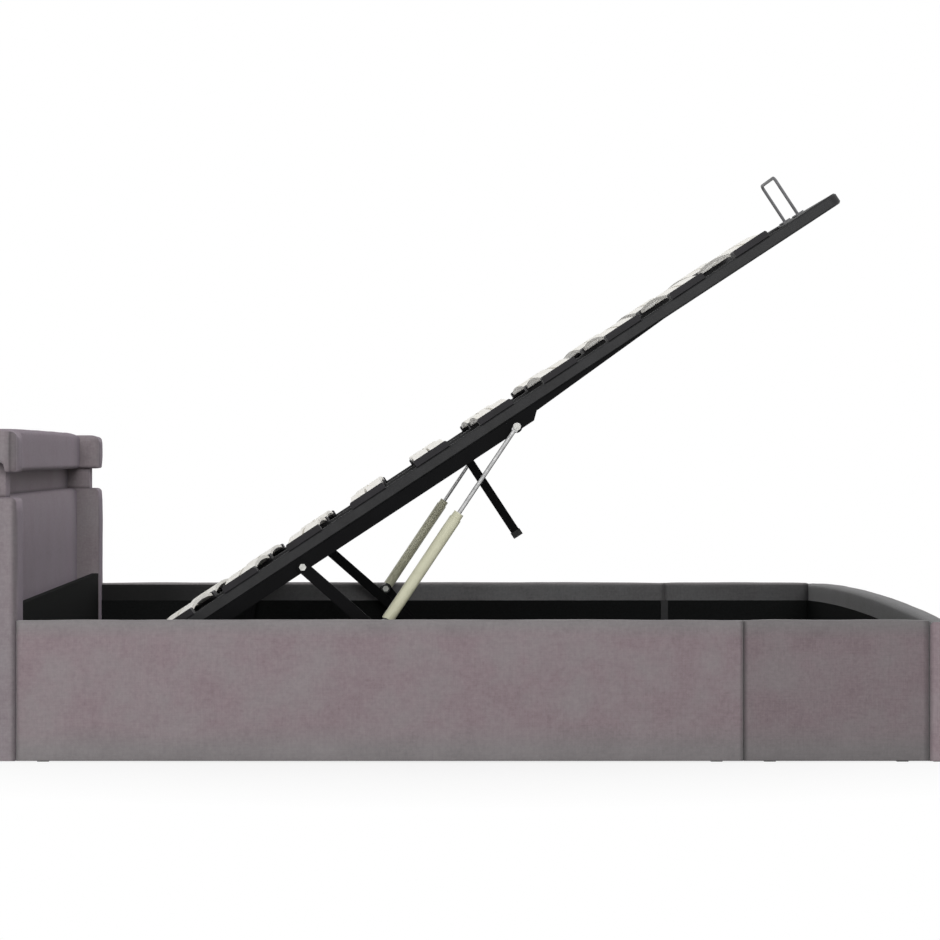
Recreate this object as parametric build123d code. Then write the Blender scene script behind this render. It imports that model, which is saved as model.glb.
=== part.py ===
from build123d import *
import os
from math import atan2, cos, degrees, hypot, radians, sin

# Ottoman storage bed, millimetres. +X points from the head to the foot, +Z up, and the
# left side, seen from the foot, is at -Y. The platform is modelled lifted, on its open stop.
# Distances along the bed are first counted from the wings' front plane, which x_at() moves
# into the row frame, whose origin lies under the middle of the whole bed.

# Overall sizes
inner_length = 2057.0
inner_width = 1510.0
bed_depth_of_headboard = 125.0
footboard_thickness = 45.0
rail_thickness = 40.0
rail_top = 317.0

# Base box
glide_height = 2.0
glide_size = 26.0
glide_inset = 60.0
glide_middle_share = 0.5
rail_joint_from_head = 1638.0
rail_top_radius = 9.0
panel_gap = 0.5
lining_thickness = 4.0
fabric_band = 49.0
footboard_side_top = 316.0
footboard_rise = 20.0
lining_rise_share = 0.85
footboard_edge_radius = 9.0
batten_height = 6.0
batten_width = 70.0
batten_count = 5
batten_margin = 90.0
floor_thickness = 4.0
floor_side_gap = 0.5
floor_joint_from_head = 1029.0

# Headboard
headboard_top = 745.0
wing_width = 100.0
centre_recess = 62.0
board_thickness = 18.0
cap_side_bottom = 673.0
cap_lip_bottom = 652.0
cap_lip_gap = 0.5
neck_setback = 27.0
neck_bottom = 603.0
cap_radius = 12.0
upright_radius = 12.0
lower_panel_radius = 9.0
head_board_top = 350.0
head_board_thickness = 18.0

# Fixings of the box
bracket_leg = 48.0
bracket_height = 120.0
bracket_bottom = 70.0
bracket_thickness = 3.0
bolt_head_radius = 6.5
bolt_head_height = 3.5
bracket_bolt_margin = 26.0
joint_plate_length = 20.0
joint_plate_height = 170.0
joint_plate_bottom = 97.0

# Lifting mechanism: places of the pivots, seen from the side
open_angle = 33.3
head_clearance = 48.0
foot_clearance = 2.0
closed_tube_bottom = 284.0
link_pivot_from_head = 514.0
pivot_drop = 21.0
pivot_shift = 80.5
pivot_rise = 171.5
front_pivot_ahead = 338.0
rear_pivot_back = 235.0
rear_pivot_reach = 120.0
strut_pivot_ahead = 584.0
strut_base_ahead = 266.5
strut_base_rise = 20.0

# Lifting mechanism: bars, plates and pins
base_plate_thickness = 5.0
base_strip_bottom = 112.0
base_strip_height = 62.0
base_strip_margin = 46.0
base_lug_radius = 18.0
link_thickness = 6.0
link_half_width = 14.0
arm_thickness = 6.0
arm_depth = 31.3
arm_lug_radius = 14.0
arm_flange_width = 27.0
arm_flange_thickness = 3.0
arm_end_length = 66.0
arm_end_bevel = 24.0
arm_end_lean = 6.0
arm_end_step = 15.5
arm_taper_length = 350.0
arm_tail_length = 60.0
side_gap = 0.5
pin_radius = 6.0
pin_shoulder_radius = 9.0
pin_head_radius = 8.5
pin_head_height = 4.0
running_clearance = 0.05
link_slack = 0.4

# Gas struts
strut_radius = 14.0
strut_to_plate = 1.0
strut_body_length = 293.5
strut_eye_radius = 13.0
strut_eye_thickness = 14.0
strut_guide_length = 14.0
strut_guide_radius = 12.0
strut_floor = 6.0
rod_radius = 5.0
rod_eye_radius = 9.0
rod_neck_length = 12.0
rod_overlap = 45.0
strut_pin_radius = 5.0
strut_pin_head_radius = 9.0

# Sprung-slat platform
tube_size = 27.0
tube_wall = 1.5
tube_corner_bevel = 4.0
foot_bend_radius = 18.0
beam_width = 40.0
beam_height = 14.0
cross_bar_width = 30.0
cross_bar_shares = (0.24, 0.49, 0.75)
slat_pairs = 10
first_pair_from_head = 202.0
last_pair_to_foot = 230.0
slat_width = 38.0
slat_thickness = 8.0
slat_bow = 12.0
slat_spacing = 44.0
slat_tip_inset = 14.0
slat_centre_inset = 10.0
holder_length = 90.0
holder_height = 15.0
holder_floor = 3.0
holder_depth = 54.0
holder_centre_width = 92.0
holder_chamfer = 3.0
holder_side_clearance = 0.4
holder_pocket_height = 11.0
retainer_width = 200.0
retainer_height = 113.5
retainer_offset = 160.0
retainer_wire_radius = 4.0
retainer_bend_radius = 11.0
retainer_foot_length = 46.0
retainer_foot_width = 24.0
retainer_foot_thickness = 3.0
leg_size = 22.0
leg_wall = 1.5
leg_plate_size = 62.0
leg_plate_thickness = 4.0
leg_foot_height = 16.0
leg_foot_wall = 2.0
leg_floor_clearance = 0.5

# Working values
cut_overrun = 5.0
overall_length = bed_depth_of_headboard + inner_length + footboard_thickness
overall_width = inner_width + 2 * rail_thickness
wing_front_x = -overall_length / 2 + bed_depth_of_headboard
rail_inner_y = inner_width / 2
lining_y = rail_inner_y - lining_thickness
lining_top = rail_top - fabric_band
floor_top = batten_height + floor_thickness
plate_y = lining_y - base_plate_thickness
strut_y = plate_y - strut_to_plate - strut_radius
link_outer_y = strut_y - strut_radius - 2 * strut_to_plate
link_inner_y = link_outer_y - link_thickness
arm_outer_y = link_inner_y - side_gap
arm_inner_y = arm_outer_y - arm_thickness
tube_inner_y = arm_outer_y - tube_size
platform_length = inner_length - head_clearance - foot_clearance

# Where the pivots lie, each as (distance from the wings, height)
link_closed = (head_clearance + link_pivot_from_head, closed_tube_bottom - pivot_drop)
link_open = (link_closed[0] + pivot_shift, link_closed[1] + pivot_rise)


def x_at(along):
    return wing_front_x + along


def on_platform(ahead, up, lifted=True):
    """A point given from the link pivot, on the lifted or the closed platform."""
    angle = radians(open_angle) if lifted else 0
    start = link_open if lifted else link_closed
    return (start[0] + ahead * cos(angle) - up * sin(angle),
            start[1] + ahead * sin(angle) + up * cos(angle))


def bisector(first, second):
    """The middle of two points, and the unit vector square to the line between them."""
    span = hypot(first[0] - second[0], first[1] - second[1])
    middle = ((first[0] + second[0]) / 2, (first[1] + second[1]) / 2)
    return middle, ((first[1] - second[1]) / span, (second[0] - first[0]) / span)


def turn_between(pivot, first, second):
    """Degrees from the first point to the second round a pivot, from +X towards +Z."""
    start = degrees(atan2(first[1] - pivot[1], first[0] - pivot[0]))
    end = degrees(atan2(second[1] - pivot[1], second[0] - pivot[0]))
    return (end - start + 180) % 360 - 180


def distance(first, second):
    return hypot(first[0] - second[0], first[1] - second[1])


link_middle, link_normal = bisector(link_open, link_closed)
front_reach = (link_closed[0] + front_pivot_ahead - link_middle[0]) / link_normal[0]
front_pivot = (link_closed[0] + front_pivot_ahead, link_middle[1] + front_reach * link_normal[1])
rear_open = on_platform(-rear_pivot_back, 0)
rear_closed = on_platform(-rear_pivot_back, 0, lifted=False)
rear_middle, rear_normal = bisector(rear_open, rear_closed)
rear_pivot = (rear_middle[0] + rear_pivot_reach * rear_normal[0],
              rear_middle[1] + rear_pivot_reach * rear_normal[1])
strut_top = on_platform(strut_pivot_ahead, 0)
strut_top_closed = on_platform(strut_pivot_ahead, 0, lifted=False)
strut_base = (link_closed[0] + strut_base_ahead, closed_tube_bottom + strut_base_rise)
strut_open_length = distance(strut_top, strut_base)
strut_closed_length = distance(strut_top_closed, strut_base)
strut_angle = degrees(atan2(strut_top[1] - strut_base[1], strut_top[0] - strut_base[0]))


def block(low, high):
    """A box between two corners."""
    size = [high[i] - low[i] for i in range(3)]
    middle = [(high[i] + low[i]) / 2 for i in range(3)]
    return Pos(*middle) * Box(*size)


def cross_pin(centre, radius, start, end):
    """A round bar along Y at a pivot, between two distances from the middle, at +Y."""
    bar = Cylinder(radius, end - start, rotation=(90, 0, 0))
    return Pos(centre[0], (start + end) / 2, centre[1]) * bar


def hexagon(centre, radius, start, end):
    """A six-sided bolt head or nut along Y at a pivot, at +Y."""
    outline = Pos(*centre) * RegularPolygon(radius, 6)
    return Pos(0, end, 0) * extrude(Plane.XZ * outline, amount=end - start)


def on_side(part, side):
    """A part modelled at +Y, kept there or mirrored to -Y."""
    return part if side > 0 else mirror(part, about=Plane.XZ)


def lifted(part):
    """A part modelled flat, from the link pivot, placed on the lifted platform."""
    return Pos(x_at(link_open[0]), 0, link_open[1]) * Rot(0, -open_angle, 0) * part


def flat_bar(outline, inner, outer):
    """A plate cut to an outline in the side view, between two distances from the middle."""
    plate = extrude(Plane.XZ * outline, amount=outer - inner)
    return Pos(0, outer, 0) * plate


def disc(centre, radius):
    return Pos(*centre) * Circle(radius)


def write(part, name):
    part.label = name
    export_step(part, os.path.join("parts", name + ".step"))


def group(solids):
    return Compound(children=[solid for part in solids for solid in part.solids()])


# Base box


def side_rail(start, end):
    """An upholstered rail panel, soft at its top edges."""
    rail = block((x_at(start), rail_inner_y, glide_height),
                 (x_at(end), rail_inner_y + rail_thickness, rail_top))
    return fillet(rail.edges().filter_by(Axis.X).group_by(Axis.Z)[-1], rail_top_radius)


def rail_lining(start, end):
    """The black board that closes the inside of a rail below its fabric band."""
    return block((x_at(start), lining_y, floor_top), (x_at(end), rail_inner_y, lining_top))


def footboard():
    """The foot panel, whose top edge rises in a shallow arch."""
    half = overall_width / 2
    sides = Polyline((-half, footboard_side_top), (-half, glide_height), (half, glide_height),
                     (half, footboard_side_top))
    arch = ThreePointArc((-half, footboard_side_top), (0, footboard_side_top + footboard_rise),
                         (half, footboard_side_top))
    outline = make_face(sides + arch)
    start = x_at(inner_length)
    panel = extrude(Plane.YZ.offset(start) * outline, amount=footboard_thickness)
    rim = [edge for edge in panel.edges()
           if edge.center().Z > footboard_side_top and abs(edge.center().Y) < half / 2]
    return fillet(rim, footboard_edge_radius)


def footboard_lining():
    """The black board inside the footboard, whose top edge follows the arch."""
    half = lining_y - panel_gap
    crown = lining_top + footboard_rise * lining_rise_share
    sides = Polyline((-half, lining_top), (-half, floor_top), (half, floor_top), (half, lining_top))
    outline = make_face(sides + ThreePointArc((-half, lining_top), (0, crown), (half, lining_top)))
    start = x_at(inner_length - lining_thickness)
    return extrude(Plane.YZ.offset(start) * outline, amount=lining_thickness)


def corner_brackets():
    """Steel angles that bolt the rails to the wings and to the footboard."""
    corner = make_face(Polyline((0, 0), (bracket_leg, 0), (bracket_leg, bracket_thickness),
                                (bracket_thickness, bracket_thickness),
                                (bracket_thickness, bracket_leg), (0, bracket_leg), (0, 0)))
    angle = extrude(corner, amount=bracket_height)
    head = Pos(x_at(0), lining_y, bracket_bottom) * Rot(0, 0, -90) * angle
    foot = Pos(x_at(inner_length - lining_thickness), lining_y, bracket_bottom) * Rot(0, 0, 180) * angle
    return group([on_side(part, side) for part in (head, foot) for side in (-1, 1)])


def bracket_bolts():
    """Heads of the bolts, two in each leg of a corner angle."""
    heads = []
    inner = lining_y - bracket_thickness
    foot_face = inner_length - lining_thickness - bracket_thickness
    for height in (bracket_bottom + bracket_bolt_margin,
                   bracket_bottom + bracket_height - bracket_bolt_margin):
        for along in (bracket_leg / 2 + bracket_thickness, foot_face - bracket_leg / 2):
            heads.append(hexagon((x_at(along), height), bolt_head_radius,
                                 inner - bolt_head_height, inner))
        for face in (bracket_thickness, foot_face - bolt_head_height):
            outline = Pos(lining_y - bracket_leg / 2, height) * RegularPolygon(bolt_head_radius, 6)
            heads.append(extrude(Plane.YZ.offset(x_at(face)) * outline, amount=bolt_head_height))
    return group([on_side(part, side) for part in heads for side in (-1, 1)])


def joint_plate():
    """The plate that joins the long and the short rail panel, inside the box."""
    half = joint_plate_length / 2
    return block((x_at(rail_joint_from_head - half), lining_y - bracket_thickness, joint_plate_bottom),
                 (x_at(rail_joint_from_head + half), lining_y, joint_plate_bottom + joint_plate_height))


def floor_panel(start, end):
    side = lining_y - floor_side_gap
    return block((x_at(start), -side, batten_height), (x_at(end), side, floor_top))


def floor_battens():
    """Flat battens across the bed that carry the floor of the storage space."""
    side = lining_y - floor_side_gap
    step = (inner_length - 2 * batten_margin) / (batten_count - 1)
    battens = []
    for number in range(batten_count):
        middle = batten_margin + number * step
        battens.append(block((x_at(middle - batten_width / 2), -side, 0),
                             (x_at(middle + batten_width / 2), side, batten_height)))
    return group(battens)


def glides():
    """Plastic pads that the rails, the wings and the footboard stand on."""
    rail_middle = rail_inner_y + rail_thickness / 2
    places = []
    for start, end in ((0, rail_joint_from_head), (rail_joint_from_head, inner_length)):
        for along in (start + glide_inset, end - glide_inset):
            places.append((along, rail_middle))
    places.append((-bed_depth_of_headboard * glide_middle_share, rail_middle))
    places.append((inner_length + footboard_thickness * glide_middle_share, rail_middle))
    feet = []
    for along, out in places:
        foot = Pos(x_at(along), out, glide_height / 2) * Box(glide_size, glide_size, glide_height)
        feet += [foot, on_side(foot, -1)]
    return group(feet)


# Headboard


def upright_profile(front, back, top):
    """Side outline of the lower tier and the set-back neck above it."""
    points = [(back, glide_height), (front, glide_height), (front, neck_bottom),
              (front - neck_setback, neck_bottom), (front - neck_setback, top), (back, top),
              (back, glide_height)]
    outline = make_face(Polyline(*points))
    rounded = outline.vertices().filter_by(lambda v: abs(v.X - front) < side_gap
                                           and abs(v.Y - neck_bottom) < side_gap)
    return fillet(rounded, lower_panel_radius)


def cap_profile(front, back, bottom):
    """Side outline of the padded cap, whose front lip hangs lower than the rest."""
    lip = front - neck_setback + cap_lip_gap
    outline = make_face(Polyline((back, bottom), (lip, bottom), (lip, cap_lip_bottom),
                                 (front, cap_lip_bottom), (front, headboard_top),
                                 (back, headboard_top), (back, bottom)))
    rounded = outline.vertices().filter_by(lambda v: v.Y > bottom + side_gap or v.X > lip + side_gap)
    return fillet(rounded, cap_radius)


def across(outline, start, end):
    """A side outline drawn out between two distances across the bed."""
    return Pos(0, end, 0) * extrude(Plane.XZ * outline, amount=end - start)


def headboard_limits():
    back = -overall_length / 2 + board_thickness
    return back, wing_front_x, wing_front_x - centre_recess


def headboard_wing():
    """One wing's lower tier and neck: the neck is also set back from the outer side."""
    back, front, _ = headboard_limits()
    inner = overall_width / 2 - wing_width
    outer = overall_width / 2
    wing = across(upright_profile(front, back, cap_side_bottom), inner, outer)
    setback = block((back - cut_overrun, outer - neck_setback, neck_bottom),
                    (front + cut_overrun, outer + cut_overrun, cap_side_bottom + cut_overrun))
    wing = wing - setback
    corner = [edge for edge in wing.edges().filter_by(Axis.Z)
              if edge.center().Y > outer - side_gap and edge.center().X > front - side_gap]
    return fillet(corner, upright_radius)


def headboard_cap_wing():
    """One wing's part of the cap."""
    back, front, _ = headboard_limits()
    inner = overall_width / 2 - wing_width
    outer = overall_width / 2
    return across(cap_profile(front, back, cap_side_bottom), inner, outer)


def headboard_centre():
    back, _, front = headboard_limits()
    inner = overall_width / 2 - wing_width
    return across(upright_profile(front, back, cap_side_bottom), -inner, inner)


def headboard_cap_centre():
    back, _, front = headboard_limits()
    inner = overall_width / 2 - wing_width
    return across(cap_profile(front, back, cap_side_bottom), -inner, inner)


def headboard_backboard():
    """The upholstered board at the back that the wings and the centre are fixed to."""
    back = -overall_length / 2
    half = overall_width / 2
    board = block((back, -half, glide_height), (back + board_thickness, half, headboard_top))
    corners = [edge for edge in board.edges().filter_by(Axis.X)
               if edge.center().Z > headboard_top - side_gap]
    return fillet(corners, cap_radius)


def head_inner_board():
    """The black board that closes the head end of the storage space, between the wings."""
    half = overall_width / 2 - wing_width - panel_gap
    return block((wing_front_x - head_board_thickness, -half, floor_top),
                 (wing_front_x, half, head_board_top))


# Lifting mechanism


def pin_holes(places):
    """Running holes for the pins at the given pivots, as one sketch."""
    return Sketch() + [disc(place, radius + running_clearance) for place, radius in places]


def base_plate():
    """The plate on the rail's inside: a long strip with a lug that carries two pivots."""
    strip_middle = base_strip_bottom + base_strip_height / 2
    start = (x_at(rear_pivot[0] - base_strip_margin), strip_middle)
    end = (x_at(front_pivot[0] + base_strip_margin), strip_middle)
    corner = base_strip_height / 2
    strip = make_hull([disc(start, corner).edge(), disc(end, corner).edge()])
    foot = (x_at(front_pivot[0] - base_strip_margin), strip_middle)
    lug_places = [foot, end, (x_at(front_pivot[0]), front_pivot[1]),
                  (x_at(strut_base[0]), strut_base[1] - strut_eye_radius / 2)]
    lug = make_hull([disc(place, base_lug_radius).edge() for place in lug_places])
    outline = strip + lug + disc((x_at(rear_pivot[0]), rear_pivot[1]), base_lug_radius)
    return flat_bar(outline, plate_y, lining_y)


def base_bolts():
    """Heads of the bolts that hold the base plates to the rails."""
    heads = []
    strip_middle = base_strip_bottom + base_strip_height / 2
    first = rear_pivot[0] - base_strip_margin
    last = front_pivot[0] + base_strip_margin
    for along in (first, (2 * first + last) / 3, (first + 2 * last) / 3, last):
        heads.append(hexagon((x_at(along), strip_middle), bolt_head_radius,
                             plate_y - bolt_head_height, plate_y))
    return group([on_side(part, side) for part in heads for side in (-1, 1)])


def base_studs():
    """Shouldered studs welded to the base plates, that both pairs of links turn on."""
    studs = []
    for pivot in (front_pivot, rear_pivot):
        place = (x_at(pivot[0]), pivot[1])
        shoulder = hexagon(place, pin_shoulder_radius, link_outer_y + link_slack, plate_y)
        pin = cross_pin(place, pin_radius, link_inner_y + link_slack, plate_y)
        studs.append(shoulder + pin)
    return group([on_side(part, side) for part in studs for side in (-1, 1)])


def flat_link(lower, upper):
    """A flat link with a round end and a hole at each of its two pivots."""
    places = [(x_at(place[0]), place[1]) for place in (lower, upper)]
    slope = degrees(atan2(upper[1] - lower[1], upper[0] - lower[0]))
    middle = [(places[0][i] + places[1][i]) / 2 for i in range(2)]
    outline = Pos(*middle) * Rot(0, 0, slope) * SlotCenterToCenter(distance(lower, upper),
                                                                   2 * link_half_width)
    holes = pin_holes([(place, pin_radius) for place in places])
    return flat_bar(outline - holes, link_inner_y, link_outer_y)


def link_bolts():
    """Bolts through the front links and the lifting arms, with a head and a nut."""
    place = (x_at(link_open[0]), link_open[1])
    shank = cross_pin(place, pin_radius, arm_inner_y - pin_head_height, link_outer_y + link_slack)
    head = hexagon(place, pin_head_radius, link_outer_y + link_slack,
                   link_outer_y + link_slack + pin_head_height)
    nut = hexagon(place, pin_head_radius, arm_inner_y - link_slack - pin_head_height,
                  arm_inner_y - link_slack)
    return group([on_side(shank + head + nut, side) for side in (-1, 1)])


def rear_link_pins():
    """Pins at the rear links' upper ends: the pivot that is left open ends short of the arm."""
    place = (x_at(rear_open[0]), rear_open[1])
    shank = cross_pin(place, pin_radius, link_inner_y, link_outer_y)
    head = hexagon(place, pin_head_radius, link_outer_y, link_outer_y + pin_head_height)
    return group([on_side(shank + head, side) for side in (-1, 1)])


def lift_arm():
    """The arm under a side tube, in local coordinates from its link pivot."""
    top = pivot_drop
    tail = -rear_pivot_back - arm_tail_length
    end = strut_pivot_ahead + arm_end_length
    bar = make_face(Polyline((tail, top), (tail + arm_depth, top - arm_depth),
                             (end - arm_end_bevel, top - arm_depth), (end - arm_end_lean, top - arm_end_step),
                             (end, top - arm_end_step), (end + arm_taper_length, top), (tail, top)))
    lugs = [make_hull([disc((place, 0), arm_lug_radius).edge(),
                       disc((place, top - arm_lug_radius), arm_lug_radius).edge()])
            for place in (-rear_pivot_back, 0, strut_pivot_ahead)]
    outline = bar
    for lug in lugs:
        outline = outline + lug
    holes = pin_holes([((0, 0), pin_radius), ((strut_pivot_ahead, 0), strut_pin_radius)])
    web = flat_bar(outline - holes, arm_inner_y, arm_outer_y)
    flange = block((tail, arm_outer_y - arm_flange_width, top - arm_flange_thickness),
                   (end, arm_outer_y, top))
    return web + flange


def strut_top_bolts():
    """Bolts that carry the struts' upper ends, with a spacer against the arm."""
    place = (strut_pivot_ahead, 0)
    half_eye = strut_eye_thickness / 2
    shank = cross_pin(place, strut_pin_radius, arm_inner_y - pin_head_height, strut_y + half_eye + link_slack)
    spacer = hexagon(place, strut_pin_head_radius, arm_outer_y, strut_y - half_eye - link_slack)
    head = hexagon(place, strut_pin_head_radius, strut_y + half_eye + link_slack,
                   strut_y + half_eye + link_slack + pin_head_height)
    nut = hexagon(place, strut_pin_head_radius, arm_inner_y - pin_head_height, arm_inner_y)
    bolt = lifted(shank + spacer + head + nut)
    return group([on_side(bolt, side) for side in (-1, 1)])


# Gas struts, modelled along +X from the lower pivot and turned to the strut's angle


def along_strut(part):
    place = Pos(x_at(strut_base[0]), strut_y, strut_base[1])
    return place * Rot(0, -strut_angle, 0) * part


def revolved(points):
    """A turned part round the strut's axis, from its outline of (along, radius) points."""
    outline = make_face(Polyline(*points, points[0]))
    return revolve(outline, Axis.X)


def eye(centre, radius, neck_end, neck_size):
    """A flat-sided eye at one end of a strut, with a neck that runs to the tube or rod."""
    ring = Pos(centre, 0, 0) * Cylinder(radius, strut_eye_thickness, rotation=(90, 0, 0))
    neck = Pos((centre + neck_end) / 2, 0, 0) * Box(abs(neck_end - centre), strut_eye_thickness, neck_size)
    hole = Cylinder(strut_pin_radius + running_clearance, strut_eye_thickness + cut_overrun,
                    rotation=(90, 0, 0))
    return ring + neck - Pos(centre, 0, 0) * hole


def strut_body():
    """The pressure tube: closed at its lower eye, with a guide for the rod at the top."""
    start = strut_eye_radius
    end = start + strut_body_length
    guide = end - strut_guide_length
    hole = rod_radius + running_clearance
    points = [(start, 0), (start, strut_radius), (guide, strut_radius), (guide, strut_guide_radius),
              (end, strut_guide_radius), (end, hole), (start + strut_floor, hole),
              (start + strut_floor, 0)]
    return along_strut(revolved(points) + eye(0, strut_eye_radius, start + strut_floor / 2,
                                              strut_eye_radius))


def strut_rod():
    """The polished rod with its eye at the top, reaching well into the body."""
    top = strut_open_length
    neck_end = top - rod_neck_length
    tip = strut_eye_radius + strut_body_length - strut_guide_length - rod_overlap
    points = [(tip, 0), (tip, rod_radius), (neck_end, rod_radius), (neck_end, 0)]
    return along_strut(revolved(points) + eye(top, rod_eye_radius, neck_end, strut_eye_thickness))


def strut_base_studs():
    """Studs in the struts' lower eyes: the pivot that is left open ends short of the plate."""
    half_eye = strut_eye_thickness / 2
    place = (x_at(strut_base[0]), strut_base[1])
    shank = cross_pin(place, strut_pin_radius, strut_y - half_eye - pin_head_height,
                      plate_y - side_gap)
    head = hexagon(place, strut_pin_head_radius, strut_y - half_eye - pin_head_height,
                   strut_y - half_eye)
    return group([on_side(shank + head, side) for side in (-1, 1)])


# Sprung-slat platform, modelled flat from the link pivot


def ahead_of_pivot(from_head):
    return from_head - link_pivot_from_head


def frame_section():
    """The platform frame's square tube, with eased outer corners."""
    bore = tube_size - 2 * tube_wall
    outside = Rectangle(tube_size, tube_size)
    outside = chamfer(outside.vertices(), tube_corner_bevel)
    inside = Rectangle(bore, bore)
    return outside - chamfer(inside.vertices(), tube_corner_bevel - tube_wall / 2)


def hollow_bar(low, high, axis, wall):
    """A rectangular tube between two corners, open at both ends along one axis."""
    inner_low = [low[i] if i == axis else low[i] + wall for i in range(3)]
    inner_high = [high[i] if i == axis else high[i] - wall for i in range(3)]
    inner_low[axis] -= cut_overrun
    inner_high[axis] += cut_overrun
    return block(low, high) - block(inner_low, inner_high)


def side_tube():
    start = ahead_of_pivot(0)
    end = ahead_of_pivot(platform_length - foot_bend_radius - tube_size / 2)
    place = Pos(arm_outer_y - tube_size / 2, pivot_drop + tube_size / 2)
    tube = extrude(Plane.YZ.offset(start) * (place * frame_section()), amount=end - start)
    return lifted(tube)


def head_tube():
    low = (ahead_of_pivot(0), -tube_inner_y, pivot_drop)
    high = (ahead_of_pivot(tube_size), tube_inner_y, pivot_drop + tube_size)
    return lifted(hollow_bar(low, high, 1, tube_wall))


def foot_tube():
    """The foot tube, bent round at both ends to meet the side tubes."""
    middle_y = arm_outer_y - tube_size / 2
    reach = foot_bend_radius
    corner_x = ahead_of_pivot(platform_length - tube_size / 2)
    height = pivot_drop + tube_size / 2
    ring = frame_section()
    straight = extrude(Plane.XZ * (Pos(corner_x, height) * ring), amount=2 * (middle_y - reach))
    straight = Pos(0, middle_y - reach, 0) * straight
    profile = Plane.YZ.offset(corner_x - reach) * (Pos(middle_y, height) * ring)
    axis = Axis((corner_x - reach, middle_y - reach, height), (0, 0, 1))
    bend = revolve(profile, axis, -90)
    return lifted(straight + bend + mirror(bend, about=Plane.XZ))


def centre_beam():
    half = beam_width / 2
    top = pivot_drop + tube_size
    low = (ahead_of_pivot(tube_size), -half, top - beam_height)
    high = (ahead_of_pivot(platform_length - tube_size), half, top)
    return lifted(hollow_bar(low, high, 0, tube_wall))


def cross_bars():
    """Flat tubes across the platform, under the centre beam."""
    bars = []
    for share in cross_bar_shares:
        middle = ahead_of_pivot(share * platform_length)
        low = (middle - cross_bar_width / 2, -tube_inner_y, pivot_drop)
        high = (middle + cross_bar_width / 2, tube_inner_y, pivot_drop + tube_size - beam_height)
        bars.append(lifted(hollow_bar(low, high, 1, tube_wall)))
    return group(bars)


def pair_places():
    pitch = (platform_length - first_pair_from_head - last_pair_to_foot) / (slat_pairs - 1)
    return [ahead_of_pivot(first_pair_from_head + number * pitch) for number in range(slat_pairs)]


slat_bottom = pivot_drop + tube_size + holder_floor
slat_outer = arm_outer_y - slat_tip_inset
slat_inner = slat_centre_inset


def one_slat():
    """A bowed slat of laminated birch, across one half of the bed."""
    middle = (slat_outer + slat_inner) / 2
    lower = ThreePointArc((slat_inner, slat_bottom), (middle, slat_bottom + slat_bow),
                          (slat_outer, slat_bottom))
    upper = ThreePointArc((slat_inner, slat_bottom + slat_thickness),
                          (middle, slat_bottom + slat_bow + slat_thickness),
                          (slat_outer, slat_bottom + slat_thickness))
    ends = [Line((place, slat_bottom), (place, slat_bottom + slat_thickness))
            for place in (slat_inner, slat_outer)]
    outline = make_face(lower + upper + ends[0] + ends[1])
    return Pos(-slat_width / 2, 0, 0) * extrude(Plane.YZ * outline, amount=slat_width)


def slat_column(side):
    slat = on_side(one_slat(), side)
    places = [middle + way * slat_spacing / 2 for middle in pair_places() for way in (-1, 1)]
    return group([lifted(Pos(place, 0, 0) * slat) for place in places])


def holder_block(inner, outer):
    """A slat holder's outer form, bevelled at its two upper ends."""
    base = pivot_drop + tube_size
    part = block((-holder_length / 2, inner, base), (holder_length / 2, outer, base + holder_height))
    return chamfer(part.edges().filter_by(Axis.Y).group_by(Axis.Z)[-1], holder_chamfer)


def pocket(inner, outer):
    """The space in a holder for one slat end."""
    half = slat_width / 2 + holder_side_clearance
    return block((-half, inner, slat_bottom), (half, outer, slat_bottom + holder_pocket_height))


def side_holder():
    inner = arm_outer_y - side_gap - holder_depth
    part = holder_block(inner, arm_outer_y - side_gap)
    for way in (-1, 1):
        space = pocket(inner - cut_overrun, slat_outer + side_gap)
        part = part - Pos(way * slat_spacing / 2, 0, 0) * space
    return part


def centre_holder():
    half = holder_centre_width / 2
    part = holder_block(-half, half)
    for way in (-1, 1):
        space = pocket(slat_inner - side_gap, half + cut_overrun)
        part = part - Pos(way * slat_spacing / 2, 0, 0) * space
        part = part - Pos(way * slat_spacing / 2, 0, 0) * mirror(space, about=Plane.XZ)
    return part


def side_holders():
    holder = side_holder()
    return group([lifted(Pos(place, 0, 0) * on_side(holder, side))
                  for place in pair_places() for side in (-1, 1)])


def centre_holders():
    holder = centre_holder()
    return group([lifted(Pos(place, 0, 0) * holder) for place in pair_places()])


def mattress_retainer():
    """The wire hoop at the foot that keeps the mattress from sliding, on two small feet."""
    base = pivot_drop + tube_size
    half = retainer_width / 2 - retainer_wire_radius
    middle = -retainer_offset
    top = base + retainer_height - retainer_wire_radius
    place = ahead_of_pivot(platform_length - tube_size / 2)
    points = [(place, middle - half, base), (place, middle - half, top),
              (place, middle + half, top), (place, middle + half, base)]
    path = FilletPolyline(*points, radius=retainer_bend_radius)
    section = Plane(origin=points[0], z_dir=(0, 0, 1)) * RegularPolygon(retainer_wire_radius, 8)
    hoop = sweep(section, path=path)
    for foot in (middle - half, middle + half):
        hoop = hoop + block((place - retainer_foot_width / 2, foot - retainer_foot_length / 2, base),
                            (place + retainer_foot_width / 2, foot + retainer_foot_length / 2,
                             base + retainer_foot_thickness))
    return lifted(hoop)


def leg_place():
    return ahead_of_pivot(cross_bar_shares[1] * platform_length)


def centre_leg():
    """The square leg under the middle, welded to a plate below the middle cross bar."""
    half = leg_size / 2
    tip = leg_tip() + leg_foot_wall
    middle = leg_place()
    plate_half = leg_plate_size / 2
    tube = hollow_bar((middle - half, -half, tip), (middle + half, half, pivot_drop - leg_plate_thickness),
                      2, leg_wall)
    plate = block((middle - plate_half, -plate_half, pivot_drop - leg_plate_thickness),
                  (middle + plate_half, plate_half, pivot_drop))
    return lifted(tube + plate)


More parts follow.
